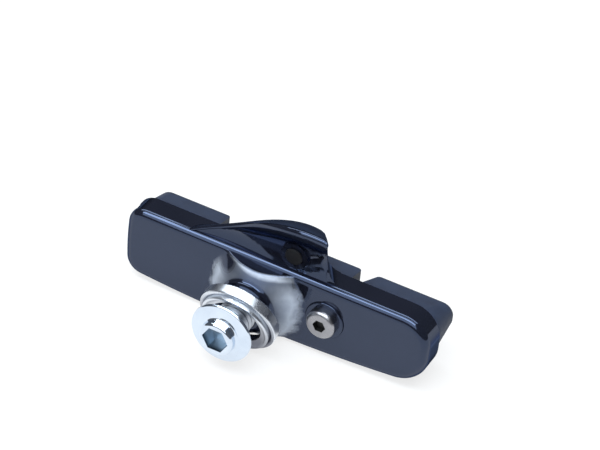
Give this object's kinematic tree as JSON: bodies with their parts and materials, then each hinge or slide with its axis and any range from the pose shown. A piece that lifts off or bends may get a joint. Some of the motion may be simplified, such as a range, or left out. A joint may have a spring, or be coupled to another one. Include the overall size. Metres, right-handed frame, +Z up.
{
  "type": "bicycle rim brake shoe",
  "caption": "Road caliper brake shoe: cast holder with a tyre guide wing, slide-in grooved rubber pad, flanged fixing bolt with a loose cup washer, pad screw and slotted guide screw.",
  "frame": {"origin": "on the fixing bolt's axis, at the underside of its flange, where the caliper arm is clamped", "axes": "+X along the shoe to its closed, rounded end; +Y along the bolt towards the wheel rim; +Z up, towards the tyre"},
  "size_m": [0.055, 0.0247, 0.0253],
  "materials": {
    "black_paint": "gloss black",
    "pad_rubber": "matte",
    "bolt_chrome": "polished",
    "washer_zinc": "bright zinc",
    "stainless": "satin",
    "dark_steel": "burnished"
  },
  "bodies": {
    "root": {"shoe_holder": "black_paint", "brake_pad": "pad_rubber", "fixing_bolt": "bolt_chrome", "cup_washer": "washer_zinc", "pad_screw": "stainless", "guide_screw": "dark_steel"}
  },
  "joints": []
}
